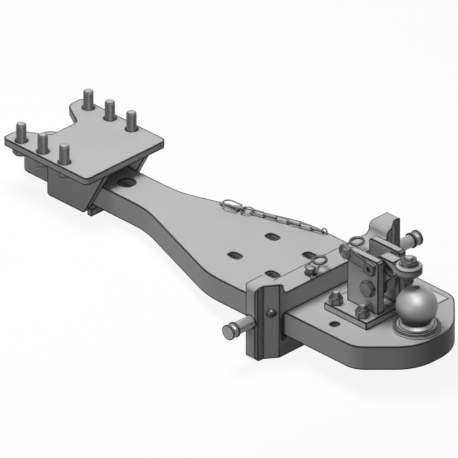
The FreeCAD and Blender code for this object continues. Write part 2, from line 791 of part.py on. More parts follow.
def adjust_screw():
    body = upright(ADJ_R, EYE_X, 0, TOP + ADJ_BOTTOM, TOP + ADJ_TOP)
    rims = [e for e in body.Edges if e.BoundBox.ZLength < 0.01]
    return body.makeChamfer(1.8, rims)


def adjust_nut():
    low = TOP + EYE_TOP
    nut = hexagon(M20_AF, EYE_X, 0, low, low + ADJ_NUT_T)
    return nut.cut(upright(ADJ_R + RUN_GAP, EYE_X, 0, low - 1, low + ADJ_NUT_T + 1))


def lock_pin():
    # Round pin, tapered lever on the near cheek and finger ring, welded into one piece
    z = TOP + LOCK_PIN_Z
    face = -(HC_IN + HC_T + LEVER_GAP)
    body = across(LOCK_PIN_R, LOCK_PIN_X, z, face - LEVER_T, LOCK_PIN_TAIL_Y)
    tip = [e for e in body.Edges if abs(e.CenterOfMass.y - LOCK_PIN_TAIL_Y) < 0.01]
    body = body.makeChamfer(1.5, tip)
    run = V(FINGER_X - LOCK_PIN_X, 0, FINGER_Z - LOCK_PIN_Z)
    length = run.Length
    turn = -math.degrees(math.atan2(run.z, run.x))
    end = length - FINGER_R + 1.0
    bar = side_slab([
        (0, -LEVER_HALF_W, 0),
        (end, -LEVER_END_HALF_W, 0),
        (end, LEVER_END_HALF_W, 0),
        (0, LEVER_HALF_W, 0),
    ], face - LEVER_T, face)
    half = LEVER_BLOCK_HALF
    block = box(-half, half, face - LEVER_BLOCK_T, face, -half, half)
    rims = [e for e in block.Edges if e.BoundBox.YLength > LEVER_BLOCK_T - 0.1]
    block = block.makeFillet(1.5, rims)
    lever = bar.fuse(block)
    lever.rotate(V(0, 0, 0), Y_AXIS, turn)
    lever.translate(V(LOCK_PIN_X, 0, z))
    mid = face - LEVER_T / 2.0 - 1.0
    ring = Part.makeTorus(FINGER_R, FINGER_WIRE_R, V(FINGER_X, mid, TOP + FINGER_Z), Y_AXIS)
    body = body.fuse(lever).fuse(ring)
    recess = across(4.5, LOCK_PIN_X, z, face - LEVER_BLOCK_T - 1, face - LEVER_BLOCK_T + 4.0)
    return body.cut(recess)


# Ball with flange, stepped neck and threaded tail under the drawbar

def tow_ball():
    low = TOP - BAR_T + BALL_SPIGOT_SHORT
    body = Part.makeSphere(BALL_R, V(0, 0, 0))
    flange = upright(BALL_FLANGE_R, 0, 0, TOP, TOP + BALL_FLANGE_T)
    step = upright(BALL_STEP_R, 0, 0, TOP + BALL_FLANGE_T - 0.5, TOP + BALL_FLANGE_T + BALL_STEP_T)
    foot = TOP + BALL_FLANGE_T + BALL_STEP_T
    cone = Part.makeCone(BALL_NECK_FOOT_R, BALL_NECK_R, 8.0, V(0, 0, foot - 0.5))
    neck = upright(BALL_NECK_R, 0, 0, foot, -BALL_R * 0.6)
    spigot = upright(BALL_SPIGOT_R, 0, 0, low, TOP + 1)
    for piece in (flange, step, cone, neck, spigot):
        body = body.fuse(piece)
    body = body.removeSplitter()
    dimple = upright(BALL_DIMPLE_R, 0, 0, BALL_R - BALL_DIMPLE_DEPTH, BALL_R + 5)
    groove = upright(BALL_FLANGE_R - 3.0, 0, 0, TOP + BALL_FLANGE_T - 1.2, TOP + BALL_FLANGE_T + 1)
    groove = groove.cut(upright(BALL_STEP_R, 0, 0, TOP, TOP + BALL_FLANGE_T + 2))
    thread = upright(BALL_BOLT_R, 0, 0, low - 1, low + BALL_BOLT_IN)
    return body.cut(dimple).cut(groove).cut(thread)


def ball_washer():
    # Heavy washer that pulls the spigot of the ball down against the drawbar
    top = TOP - BAR_T
    ring = upright(BALL_WASHER_R, 0, 0, top - BALL_WASHER_T, top)
    rims = [e for e in ring.Edges if e.BoundBox.ZMax < top - BALL_WASHER_T + 0.1 and e.BoundBox.ZLength < 0.1]
    ring = ring.makeChamfer(1.0, rims)
    return ring.cut(upright(BALL_BOLT_R + RUN_GAP, 0, 0, top - BALL_WASHER_T - 1, top + 1))


def ball_bolt():
    seat = TOP - BAR_T - BALL_WASHER_T
    head = hexagon(BALL_BOLT_AF, 0, 0, 0, BALL_BOLT_HEAD_T)
    head.rotate(V(0, 0, 0), X_AXIS, 180.0)
    head.translate(V(0, 0, seat))
    tip = TOP - BAR_T + BALL_SPIGOT_SHORT + BALL_BOLT_IN - 3.0
    return head.fuse(upright(BALL_BOLT_R, 0, 0, seat - 0.5, tip)).removeSplitter()


def type_plate():
    return box(TAG_FRONT_X, TAG_REAR_X, TAG_IN_Y, TAG_OUT_Y, TOP, TOP + TAG_T)


# Chain laid along the edge of the drawbar, with its clip pin

def chain_lift():
    # Height of the chain line when the leaning links rest on the plate
    return (LINK_W / 2.0 - LINK_WIRE_R) * math.sin(math.radians(LINK_LEAN)) + LINK_WIRE_R


def lay_along(body, run, turn, lift):
    # Body drawn along +X at the origin, placed run mm down the chain line
    angle = math.radians(CHAIN_TURN)
    body.rotate(V(0, 0, 0), X_AXIS, turn)
    body.rotate(V(0, 0, 0), Z_AXIS, CHAIN_TURN)
    body.translate(V(CHAIN_X + run * math.cos(angle), CHAIN_Y + run * math.sin(angle), TOP + lift))
    return body


def link_shape():
    # Round-ended link in the plane Z = 0, centred, its inner length equal to the pitch
    bow_r = LINK_W / 2.0 - LINK_WIRE_R
    straight = LINK_PITCH / 2.0 + LINK_WIRE_R - bow_r
    body = None
    for side in (-1, 1):
        bar = rod(LINK_WIRE_R, V(-straight, side * bow_r, 0), V(straight, side * bow_r, 0))
        body = bar if body is None else body.fuse(bar)
        bow = Part.makeTorus(bow_r, LINK_WIRE_R, V(0, 0, 0), Z_AXIS, 0, 360, 180)
        bow.rotate(V(0, 0, 0), Z_AXIS, -90.0 * side)
        bow.translate(V(side * straight, 0, 0))
        body = body.fuse(bow)
    return body.removeSplitter()


def chain_staple():
    # Low bow welded on the plate in line with the chain; the first link hangs on its front leg
    lift = chain_lift()
    body = Part.makeTorus(STAPLE_HALF_L, STAPLE_WIRE_R, V(0, 0, 0), Z_AXIS, 0, 360, 180)
    body.rotate(V(0, 0, 0), X_AXIS, 90.0)
    for side in (-1, 1):
        x = side * STAPLE_HALF_L
        body = body.fuse(rod(STAPLE_WIRE_R, V(x, 0, -lift - STAPLE_RISE), V(x, 0, 0)))
    return lay_along(body.removeSplitter(), -STAPLE_HALF_L, 0.0, lift + STAPLE_RISE)


def link_run(index):
    # Distance of a link's middle from the staple's front leg
    first = LINK_PITCH / 2.0 - STAPLE_WIRE_R - 2.0 * LINK_GAP
    return first + index * (LINK_PITCH - LINK_GAP)


def chain_links():
    solids = []
    for i in range(LINK_COUNT):
        lean = LINK_LEAN if i % 2 == 0 else -LINK_LEAN
        solids.append(lay_along(link_shape(), link_run(i), lean, chain_lift()))
    return Part.makeCompound(solids)


def split_start():
    # Where the ring wire passes through the last link
    return link_run(LINK_COUNT - 1) + LINK_PITCH / 2.0 - SPLIT_WIRE_R - SPLIT_GAP


def split_ring():
    # Ring from the last link to the head of the clip pin
    body = Part.makeTorus(SPLIT_R, SPLIT_WIRE_R, V(0, 0, 0), Z_AXIS)
    drop = math.degrees(math.asin((chain_lift() - CLIP_HEAD_R) / (2.0 * SPLIT_R)))
    body.rotate(V(0, 0, 0), Y_AXIS, drop)
    return lay_along(body, split_start() + SPLIT_R, 0.0, (chain_lift() + CLIP_HEAD_R) / 2.0)


def clip_start():
    return split_start() + 2.0 * SPLIT_R


def clip_pin():
    # Head with a cross hole for the ring and one for the loop, then the pin, lying on the plate
    head = rod(CLIP_HEAD_R, V(CLIP_HEAD_BACK, 0, 0), V(CLIP_HEAD_FRONT, 0, 0))
    rims = [e for e in head.Edges if e.BoundBox.XLength < 0.01]
    head = head.makeChamfer(1.0, rims)
    shank = rod(CLIP_R, V(CLIP_HEAD_FRONT - 1, 0, 0), V(CLIP_TIP, 0, 0))
    tip = [e for e in shank.Edges if abs(e.CenterOfMass.x - CLIP_TIP) < 0.01]
    body = head.fuse(shank.makeChamfer(1.5, tip)).removeSplitter()
    body = body.cut(rod(CLIP_HOLE_R, V(-0.5, -10, 0), V(-0.5, 10, 0)))
    body = body.cut(rod(CLIP_WIRE_R + RUN_GAP, V(CLIP_PIVOT, -10, 0), V(CLIP_PIVOT, 10, 0)))
    return lay_along(body, clip_start(), 0.0, CLIP_HEAD_R)


def clip_ring():
    # Loop hinged in the head, closed over the pin near its tip
    reach = CLIP_LOOP_END - CLIP_PIVOT - CLIP_LOOP_R
    body = wire_ring(CLIP_LOOP_R, reach, CLIP_WIRE_R, V(0, 0, 0))
    rise = CLIP_R + CLIP_WIRE_R + RUN_GAP
    body.rotate(V(0, 0, 0), X_AXIS, math.degrees(math.asin(rise / (CLIP_LOOP_END - CLIP_PIVOT))))
    body.rotate(V(0, 0, 0), Z_AXIS, -90.0)
    body.translate(V(CLIP_PIVOT, 0, 0))
    return lay_along(body, clip_start(), 0.0, CLIP_HEAD_R)


def main():
    parts = {
        "drawbar_plate": drawbar_plate(),
        "front_plate": front_plate(),
        "front_bolts": front_bolts(),
        "front_cheek_near": front_cheek(-1),
        "front_cheek_far": front_cheek(1),
        "front_keeper": front_keeper(),
        "yoke": yoke(),
        "side_pin_near": side_pin(-1),
        "side_pin_far": side_pin(1),
        "side_screws": side_screws(),
        "lock_bolt_near": lock_bolt(-1),
        "lock_bolt_far": lock_bolt(1),
        "lock_ring_near": lock_ring(-1),
        "lock_ring_far": lock_ring(1),
        "hold_base": hold_base(),
        "hold_cheek_near": hold_cheek(-1),
        "hold_cheek_far": hold_cheek(1),
        "hold_base_bolts": hold_base_bolts(),
        "hold_base_nuts": hold_base_nuts(),
        "pivot_bolt": pivot_bolt(),
        "pivot_nut": pivot_nut(),
        "pivot_spacers": pivot_spacers(),
        "hold_arm": hold_arm(),
        "adjust_screw": adjust_screw(),
        "adjust_nut": adjust_nut(),
        "lock_pin": lock_pin(),
        "tow_ball": tow_ball(),
        "ball_washer": ball_washer(),
        "ball_bolt": ball_bolt(),
        "type_plate": type_plate(),
        "chain_staple": chain_staple(),
        "chain_links": chain_links(),
        "split_ring": split_ring(),
        "clip_pin": clip_pin(),
        "clip_ring": clip_ring(),
    }
    os.makedirs("parts", exist_ok=True)
    for name, shape in parts.items():
        shape.exportStep("parts/" + name + ".step")
        size = shape.BoundBox
        print(name, shape.isValid(), len(shape.Solids), round(shape.Volume, 1),
              round(size.XMin, 2), round(size.XMax, 2), round(size.YMin, 2),
              round(size.YMax, 2), round(size.ZMin, 2), round(size.ZMax, 2))


main()
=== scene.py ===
# %% [markdown]
# A ball hitch drawbar for a tractor, dressed for a studio picture.
# The exact steel shapes come from the construction model and stay as they are.
# This lesson gives them their paint, zinc and turned steel, adds screw threads and weld seams,
# and then sets up floor, light and camera.

# %% Load the part
import math

import bmesh
import bpy
from mathutils import Matrix, Vector


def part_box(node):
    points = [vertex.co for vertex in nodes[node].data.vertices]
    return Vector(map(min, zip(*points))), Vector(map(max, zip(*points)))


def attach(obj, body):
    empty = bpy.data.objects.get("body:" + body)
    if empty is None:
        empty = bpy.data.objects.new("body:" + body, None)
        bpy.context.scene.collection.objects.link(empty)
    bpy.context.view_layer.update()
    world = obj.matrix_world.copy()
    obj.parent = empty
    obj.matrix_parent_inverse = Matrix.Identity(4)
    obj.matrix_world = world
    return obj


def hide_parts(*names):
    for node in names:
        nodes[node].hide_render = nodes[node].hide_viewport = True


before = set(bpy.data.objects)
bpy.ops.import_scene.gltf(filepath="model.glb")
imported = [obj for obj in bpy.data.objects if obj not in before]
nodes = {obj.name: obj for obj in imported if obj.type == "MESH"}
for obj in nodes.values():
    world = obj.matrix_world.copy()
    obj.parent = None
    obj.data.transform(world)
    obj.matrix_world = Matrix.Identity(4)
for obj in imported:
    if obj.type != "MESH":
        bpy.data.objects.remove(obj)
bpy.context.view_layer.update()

mm = 0.001

# %% [markdown]
# Shader maths reads best as plain formulas.
# The small class below wraps one output socket, so that adding or multiplying two of them
# puts the matching Math node into the tree. The add method makes every other kind of node: it
# takes the node's type, its settings, then the values or links of its inputs. The feed method
# links the result to an input of the finished shader.

# %% A socket that understands arithmetic
class Flow:
    def __init__(self, tree, socket=None):
        self.tree = tree
        self.socket = socket

    def add(self, kind, settings=None, inputs=None, output=0):
        node = self.tree.nodes.new(kind)
        for key, value in (settings or {}).items():
            setattr(node, key, value)
        for key, value in (inputs or {}).items():
            if isinstance(value, Flow):
                self.tree.links.new(value.socket, node.inputs[key])
            else:
                node.inputs[key].default_value = value
        return Flow(self.tree, node.outputs[output])

    def feed(self, shader, name):
        self.tree.links.new(self.socket, shader.inputs[name])

    def maths(self, operation, *values):
        inputs = dict(enumerate((self, *values)))
        return self.add("ShaderNodeMath", {"operation": operation}, inputs)

    def __add__(self, other):
        return self.maths("ADD", other)

    __radd__ = __add__

    def __sub__(self, other):
        return self.maths("SUBTRACT", other)

    def __rsub__(self, other):
        return self.add("ShaderNodeMath", {"operation": "SUBTRACT"}, {0: other, 1: self})

    def __mul__(self, other):
        return self.maths("MULTIPLY", other)

    __rmul__ = __mul__

    def clamp(self):
        return self.maths("MINIMUM", 1.0).maths("MAXIMUM", 0.0)

    def between(self, low, high):
        # Rises softly from 0 at low to 1 at high
        settings = {"interpolation_type": "SMOOTHSTEP"}
        values = {"Value": self, "From Min": low, "From Max": high}
        return self.add("ShaderNodeMapRange", settings, values)


print("socket class:", Flow.__name__)

# %% [markdown]
# Every finish below is a Principled shader and starts from the same few things: the point on
# the object, the part of the surface's direction that looks up, noise and a blend of two greys.
# Both the point and the direction are read in the object's own space, so that a pattern stays in
# its place when a piece moves. All lengths are in metres.

# %% Start a finish
def new_finish(name, specular, metallic=0.0):
    material = bpy.data.materials.new(name)
    material.use_nodes = True
    tree = material.node_tree
    shader = tree.nodes["Principled BSDF"]
    shader.inputs["Metallic"].default_value = metallic
    shader.inputs["Specular IOR Level"].default_value = specular
    return material, shader, Flow(tree)


def object_point(start):
    return start.add("ShaderNodeTexCoord", output="Object")


def height_of(start, vector):
    return start.add("ShaderNodeSeparateXYZ", None, {"Vector": vector}, "Z")


def looking_up(start):
    return height_of(start, start.add("ShaderNodeTexCoord", output="Normal"))


def noise(start, point, scale, detail):
    values = {"Vector": point, "Scale": scale, "Detail": detail}
    return start.add("ShaderNodeTexNoise", None, values, "Fac")


def grey(value):
    return (value, value, value, 1.0)


def blend_colours(start, factor, first, second):
    # The Mix node keeps its colours at inputs 6 and 7 and at output 2
    values = {0: factor, 6: first, 7: second}
    return start.add("ShaderNodeMix", {"data_type": "RGBA"}, values, 2)


def mottled(start, shade, base):
    # Shade 0 gives the base grey, -0.5 gives half of it and 0.5 one and a half times as much
    return blend_colours(start, (shade + 0.5).clamp(), grey(base * 0.5), grey(base * 1.5))


print("helpers for finishes: ready")

# %% [markdown]
# The picture shows a thin dark line along every edge, as grime leaves it on a real part.
# The Bevel node rounds edges for the light only. Where its normal turns away from the real one,
# an edge is near, so one minus the dot product of the two is a mask for that line.
# A second, much smaller Bevel under the Bump node makes the edges catch a little light.

# %% Edge line and fine relief
def edge_line(start, radius, strength):
    rounded = start.add("ShaderNodeBevel", {"samples": 8}, {"Radius": radius})
    straight = start.add("ShaderNodeNewGeometry", output="Normal")
    settings = {"operation": "DOT_PRODUCT"}
    same = start.add("ShaderNodeVectorMath", settings, {0: rounded, 1: straight}, "Value")
    return ((1.0 - same) * strength).clamp()


def fine_relief(start, height, strength, distance, rounding=None):
    values = {"Strength": strength, "Distance": distance, "Height": height}
    if rounding is not None:
        values["Normal"] = start.add("ShaderNodeBevel", {"samples": 4}, {"Radius": rounding})
    return start.add("ShaderNodeBump", None, values)


print("helpers for edges: ready")

# %% [markdown]
# The plates are cut from hot-rolled steel and painted satin grey.
# Paint over rolled steel is never quite even: it shows soft clouds, a fine orange peel, and on the
# flame-cut sides faint upright drag lines. The clouds go into the colour and the roughness,
# the peel and the drag lines into one Bump node, and the edge mask darkens the edges.

# %% Painted plate
def painted_plate(name, base, line_grey):
    material, shader, start = new_finish(name, specular=0.18)
    point = object_point(start)
    clouds = noise(start, point, scale=14.0, detail=4.0)
    specks = noise(start, point, scale=420.0, detail=2.0)
    side = 1.0 - looking_up(start).maths("ABSOLUTE").between(0.2, 0.6)
    upright = {"Vector": point, "Scale": (1.0, 1.0, 0.04)}
    stretched = start.add("ShaderNodeMapping", None, upright)
    drag = noise(start, stretched, scale=300.0, detail=2.0)
    light = mottled(start, clouds * 0.10 + specks * 0.05 - 0.075, base)
    line = edge_line(start, radius=0.005, strength=160.0)
    blend_colours(start, line, light, grey(line_grey)).feed(shader, "Base Color")
    (clouds * 0.16 + specks * 0.1 + 0.38).feed(shader, "Roughness")
    height = specks * 0.35 + drag * side * 0.65
    relief = fine_relief(start, height, strength=0.22, distance=0.0004, rounding=0.0006)
    relief.feed(shader, "Normal")
    print("finish:", name)
    return material


plate_paint = painted_plate("plate_paint", base=0.47, line_grey=0.02)

# %% [markdown]
# Bolts, nuts, pins, rings and chain are zinc plated. Zinc is a soft metal shine with fine crystals
# and handling marks. A fully metallic shader would only mirror the white studio and lose its form,
# so the finish is part metal, part grey zinc, with small clouds in its roughness.
# A threaded rod's end is painted light, partly as its bare sawn steel and partly as painted light
# from above, and the chamfer round it is painted darker as painted shade. Both are told from the
# thread by how far they look up: the end fully, the chamfer by about 45 degrees. That suits the
# upright bolts. The short end of the hinge bolt, which lies across, only gets its upper side
# painted lighter, which is painted light.

# %% Zinc plated steel
def zinc_plated(
        name, base, metallic, roughness, line_grey, line_radius, line_strength=80.0, sawn_and_lit_end=None):
    material, shader, start = new_finish(name, specular=0.5, metallic=metallic)
    point = object_point(start)
    clouds = noise(start, point, scale=60.0, detail=3.0)
    grains = noise(start, point, scale=900.0, detail=2.0)
    light = mottled(start, clouds * 0.22 + grains * 0.12 - 0.17, base)
    line = edge_line(start, line_radius, line_strength)
    if sawn_and_lit_end is not None:
        # A face looking up is painted lighter, partly bare sawn steel and partly painted light;
        # the chamfer is painted darker as painted shade
        up = looking_up(start)
        shaded_chamfer = up.between(0.6, 0.68) * (1.0 - up.between(0.74, 0.8))
        light = blend_colours(start, shaded_chamfer, light, grey(base * 0.2))
        end = up.between(0.9, 0.97)
        light = blend_colours(start, end, light, grey(sawn_and_lit_end))
        line = (line + edge_line(start, radius=0.0034, strength=110.0) * end).clamp()
    blend_colours(start, line, light, grey(line_grey)).feed(shader, "Base Color")
    (clouds * 0.2 + grains * 0.1 + roughness - 0.15).feed(shader, "Roughness")
    relief = fine_relief(start, grains, strength=0.15, distance=0.0002, rounding=0.0004)
    relief.feed(shader, "Normal")
    print("finish:", name)
    return material


bolt_zinc = zinc_plated(
    "bolt_zinc", base=0.23, metallic=0.15, roughness=0.42,
    line_grey=0.02, line_radius=0.0042, line_strength=200.0)
thread_zinc = zinc_plated(
    "thread_zinc", base=0.17, metallic=0.15, roughness=0.42,
    line_grey=0.03, line_radius=0.0006, sawn_and_lit_end=0.42)

# %% [markdown]
# Side pins, lock rings, chain and the small black screws get the same zinc in other greys.
# The line gets a smaller radius on a thinner piece, or it would cover the piece.
# The name plate is bare metal and lies flush, so only a strong line tells it from the steel.

# %% Pins, rings, chain, screws and name plate
pin_zinc = zinc_plated(
    "pin_zinc", base=0.42, metallic=0.35, roughness=0.34,
    line_grey=0.02, line_radius=0.004, line_strength=160.0)
ring_zinc = zinc_plated(
    "ring_zinc", base=0.07, metallic=0.25, roughness=0.38, line_grey=0.02, line_radius=0.002)
chain_zinc = zinc_plated(
    "chain_zinc", base=0.17, metallic=0.35, roughness=0.36, line_grey=0.02, line_radius=0.0014)
black_screw = zinc_plated(
    "black_screw", base=0.08, metallic=0.3, roughness=0.28, line_grey=0.01, line_radius=0.0016)
plate_bare = zinc_plated(
    "plate_bare", base=0.58, metallic=0.1, roughness=0.5,
    line_grey=0.01, line_radius=0.005, line_strength=800.0)

# %% [markdown]
# The ball is turned on a lathe and polished, so its marks run round the upright axis.
# Noise that hardly changes sideways but fast with the height gives such rings without a texture
# map. The ball's lower half is painted darker as painted shade and is made more metallic there,
# while the turned collar and flange under it stay bright. All of this depends on the height alone.

# %% Turned ball steel
def turned_steel(name, base, neck, dark_below, light_above):
    material, shader, start = new_finish(name, specular=0.5)
    point = object_point(start)
    flat = start.add("ShaderNodeMapping", None, {"Vector": point, "Scale": (0.03, 0.03, 1.0)})
    rings = noise(start, flat, scale=1500.0, detail=2.0)
    clouds = noise(start, point, scale=35.0, detail=3.0)
    light = mottled(start, clouds * 0.12 + rings * 0.06 - 0.09, base)
    height = height_of(start, point)
    on_ball = height.between(neck - 0.003, neck + 0.002)
    # Below its middle the ball is painted darker as painted shade, and it gets more metal there
    painted_lower_shade = (1.0 - height.between(dark_below, light_above)) * on_ball
    light = blend_colours(start, painted_lower_shade, light, grey(base * 0.06))
    light = blend_colours(start, (1.0 - on_ball) * 0.4, light, grey(base * 2.0))
    line = edge_line(start, radius=0.003, strength=110.0)
    blend_colours(start, line, light, grey(0.02)).feed(shader, "Base Color")
    (painted_lower_shade * 0.6 + 0.3).feed(shader, "Metallic")
    (rings * 0.12 + clouds * 0.1 + 0.4).feed(shader, "Roughness")
    fine_relief(start, rings, strength=0.08, distance=0.0002).feed(shader, "Normal")
    print("finish:", name)
    return material


ball_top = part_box("tow_ball")[1].z
ball_steel = turned_steel(
    "ball_steel", base=0.38, neck=ball_top - 0.073,
    dark_below=ball_top - 0.062, light_above=ball_top - 0.024)

# %% [markdown]
# A node of the construction model keeps its mesh and only gets a better material.
# Everything is painted first, and then the pieces of other metal are dressed again.

# %% Dress the nodes
def dress(names, material):
    for name in names:
        slots = nodes[name].data.materials
        slots.clear()
        slots.append(material)


dress(nodes, plate_paint)
dress(["front_bolts", "hold_base_bolts", "hold_base_nuts", "pivot_bolt", "pivot_nut"], bolt_zinc)
dress(["adjust_nut", "adjust_screw", "ball_washer", "ball_bolt"], bolt_zinc)
dress(["pivot_spacers", "lock_pin", "lock_bolt_near", "lock_bolt_far"], bolt_zinc)
dress(["side_pin_near", "side_pin_far"], pin_zinc)
dress(["lock_ring_near", "lock_ring_far"], ring_zinc)
dress(["side_screws"], black_screw)
dress(["type_plate"], plate_bare)
dress(["chain_staple", "chain_links", "split_ring", "clip_pin", "clip_ring"], chain_zinc)
dress(["tow_ball"], ball_steel)
print("dressed:", len(nodes))

# %% [markdown]
# New pieces are built in bmesh, Blender's workshop for meshes. Three steps come back all the
# time: cut a shape with a plane, close the open rims that a cut leaves, and put a finished shape
# into a larger mesh at its own place.

# %% Cut, close and gather
def cut_flat(shape, point, outward, clear):
    everything = shape.verts[:] + shape.edges[:] + shape.faces[:]
    bmesh.ops.bisect_plane(
        shape, geom=everything, dist=1e-5, plane_co=point, plane_no=outward, clear_outer=clear)


def close_rims(shape):
    rims = [edge for edge in shape.edges if edge.is_boundary]
    bmesh.ops.edgeloop_fill(shape, edges=rims)
    bmesh.ops.recalc_face_normals(shape, faces=shape.faces)


def append_shape(work, shape, place):
    bmesh.ops.transform(shape, matrix=place, verts=shape.verts)
    spare = bpy.data.meshes.new("spare")
    shape.to_mesh(spare)
    shape.free()
    work.from_mesh(spare)
    bpy.data.meshes.remove(spare)


print("bmesh helpers: ready")

# %% [markdown]
# The construction model shows a screw as a plain rod of its outer radius. On the real bolt the
# thread is a groove that winds up the rod, and its lines show on the six front studs.
# One pitch of the profile is spun round the axis and lifted a little at every step, which is how
# a lathe cuts it. The ends are then cut flat, and the tip gets the cone that helps a nut to start.

# %% Screw thread
thread_steps = 28
thread_depth = 0.58
cone_height = 0.85
crest_end, root_start, root_end = 0.14, 0.5, 0.64


def spin_thread(radius, pitch, low, high):
    root = radius - thread_depth * pitch
    profile = (
        (0.0, radius), (crest_end, radius), (root_start, root), (root_end, root), (1.0, radius))
    turns = math.ceil((high - low) / pitch) + 2
    rod = bmesh.new()
    points = [rod.verts.new((reach, 0.0, low + (part - 1.0) * pitch)) for part, reach in profile]
    lines = [rod.edges.new(pair) for pair in zip(points, points[1:])]
    bmesh.ops.spin(
        rod, geom=points + lines, cent=(0, 0, 0), axis=(0, 0, 1),
        dvec=(0, 0, pitch / thread_steps), angle=math.tau * turns, steps=turns * thread_steps,
        use_merge=False, use_duplicate=False)
    bmesh.ops.remove_doubles(rod, verts=rod.verts, dist=1e-6)
    return rod


def add_thread(work, radius, pitch, low, high, place, cones=(False, True)):
    rod = spin_thread(radius, pitch, low, high)
    cone = cone_height * pitch
    cut_flat(rod, (0, 0, low), (0, 0, -1), True)
    cut_flat(rod, (0, 0, high), (0, 0, 1), True)
    if cones[0]:
        cut_flat(rod, (0, 0, low + cone), (0, 0, 1), False)
    if cones[1]:
        cut_flat(rod, (0, 0, high - cone), (0, 0, 1), False)
    for vert in rod.verts:
        past_top = vert.co.z - (high - cone) if cones[1] else 0.0
        past_foot = (low + cone) - vert.co.z if cones[0] else 0.0
        allowed = radius - max(past_top, past_foot, 0.0)
        reach = math.hypot(vert.co.x, vert.co.y)
        if reach > allowed:
            vert.co.x *= allowed / reach
            vert.co.y *= allowed / reach
    close_rims(rod)
    for face in rod.faces:
        face.material_index = 1
    append_shape(work, rod, place)


print("thread: steps in one turn", thread_steps)

# %% [markdown]
# A finished bmesh becomes a mesh and an object. It is shaded smooth but kept sharp at real
# corners, rides on its body, and is told which of the part's surface slots it shows.

# %% Finish a piece
def finish_piece(name, work, body, materials, smooth_angle=30.0):
    mesh = bpy.data.meshes.new(name)
    work.to_mesh(mesh)
    work.free()
    mesh.shade_smooth()
    mesh.set_sharp_from_angle(angle=math.radians(smooth_angle))
    piece = bpy.data.objects.new(name, mesh)
    bpy.context.scene.collection.objects.link(piece)
    for material in materials:
        mesh.materials.append(material)
    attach(piece, body)
    print("piece:", name, "triangles:", sum(len(face.vertices) - 2 for face in mesh.polygons))
    return piece


print("finishing helper: ready")

# %% [markdown]
# Heads and hidden shanks are right as they are, so each set of bolts starts as a merged copy of
# its construction mesh, cut off where a hole or a nut hides the cut. That leaves one open rim for
# each bolt, and the middle of the rim says where its thread goes on, from the cut to the tip.

# %% Where the bolts stand
def merged_copy(name):
    work = bmesh.new()
    work.from_mesh(nodes[name].data)
    bmesh.ops.remove_doubles(work, verts=work.verts, dist=1e-6)
    return work


def rim_centres(work):
    todo = {edge for edge in work.edges if edge.is_boundary}
    centres = []
    while todo:
        rim = set(todo.pop().verts)
        growing = True
        while growing:
            near = [edge for edge in todo if edge.verts[0] in rim or edge.verts[1] in rim]
            todo.difference_update(near)
            for edge in near:
                rim.update(edge.verts)
            growing = bool(near)
        sides = [(min(values), max(values)) for values in zip(*(vert.co for vert in rim))]
        centres.append(Vector([(low + high) / 2 for low, high in sides]))
    return sorted(centres, key=tuple)


print("bolt helpers: ready")

# %% [markdown]
# The front studs and the bolts of the hold-down's base stand upright, and its hinge bolt lies
# across. For that one the thread, which is always spun round z, is turned by 90 degrees.

# %% Threaded bolts
def threaded_bolts(name, node, radius, pitch, cut, tip, axis="Z"):
    upright = axis == "Z"
    along = Vector((0, 0, 1)) if upright else Vector((0, 1, 0))
    turn = Matrix.Identity(4) if upright else Matrix.Rotation(math.radians(-90.0), 4, "X")
    work = merged_copy(node)
    cut_flat(work, along * cut, along, True)
    feet = [centre - along * centre.dot(along) for centre in rim_centres(work)]
    close_rims(work)
    for foot in feet:
        add_thread(work, radius, pitch, cut, tip, Matrix.Translation(foot) @ turn)
    piece = finish_piece(name, work, "frame", [bolt_zinc, thread_zinc])
    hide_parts(node)
    return piece


plate_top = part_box("front_plate")[1].z
threaded_bolts(
    "front_bolts_threaded", "front_bolts", radius=10 * mm, pitch=2.5 * mm,
    cut=plate_top - 6 * mm, tip=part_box("front_bolts")[1].z)
nut_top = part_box("hold_base_nuts")[1].z
threaded_bolts(
    "hold_base_bolts_threaded", "hold_base_bolts", radius=8 * mm, pitch=2 * mm,
    cut=nut_top - 4 * mm, tip=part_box("hold_base_bolts")[1].z)
nut_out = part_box("pivot_nut")[1].y
threaded_bolts(
    "pivot_bolt_threaded", "pivot_bolt", radius=10 * mm, pitch=2.5 * mm,
    cut=nut_out - 4 * mm, tip=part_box("pivot_bolt")[1].y, axis="Y")

# %% [markdown]
# The pressure screw is threaded from end to end, with a cone at both ends.

# %% Pressure screw
screw_low, screw_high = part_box("adjust_screw")
screw_middle = (screw_low + screw_high) / 2
screw_place = Matrix.Translation((screw_middle.x, screw_middle.y, 0))
screw_work = bmesh.new()
add_thread(
    screw_work, radius=10 * mm, pitch=2.5 * mm, low=screw_low.z, high=screw_high.z,
    place=screw_place, cones=(True, True))
pressure_screw = finish_piece(
    "adjust_screw_threaded", screw_work, "pressure_screw",
    [bolt_zinc, thread_zinc])
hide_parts("adjust_screw")

# %% [markdown]
# The cheeks are welded to the plates that carry them. A weld seam is a small fillet with a ripple
# for every touch of the welder. A five-cornered section is pushed along the joint in short steps,
# and every other section is drawn in a little. The seam's foot reaches slightly into the joint,
# and its face bulges less than a quarter circle would.

# %% Weld seam
seam_leg = 4 * mm
ripple_length = 1.4 * mm
drawn_in = 0.86
foot_sink = 0.04
face_dip = 0.16


def seam_section(start, out, up):
    corners = [start - (out + up) * seam_leg * foot_sink]
    for degrees in (0, 30, 60, 90):
        angle = math.radians(degrees)
        bulge = 1.0 - face_dip * math.sin(2 * angle)
        corners.append(start + (out * math.cos(angle) + up * math.sin(angle)) * seam_leg * bulge)
    return corners


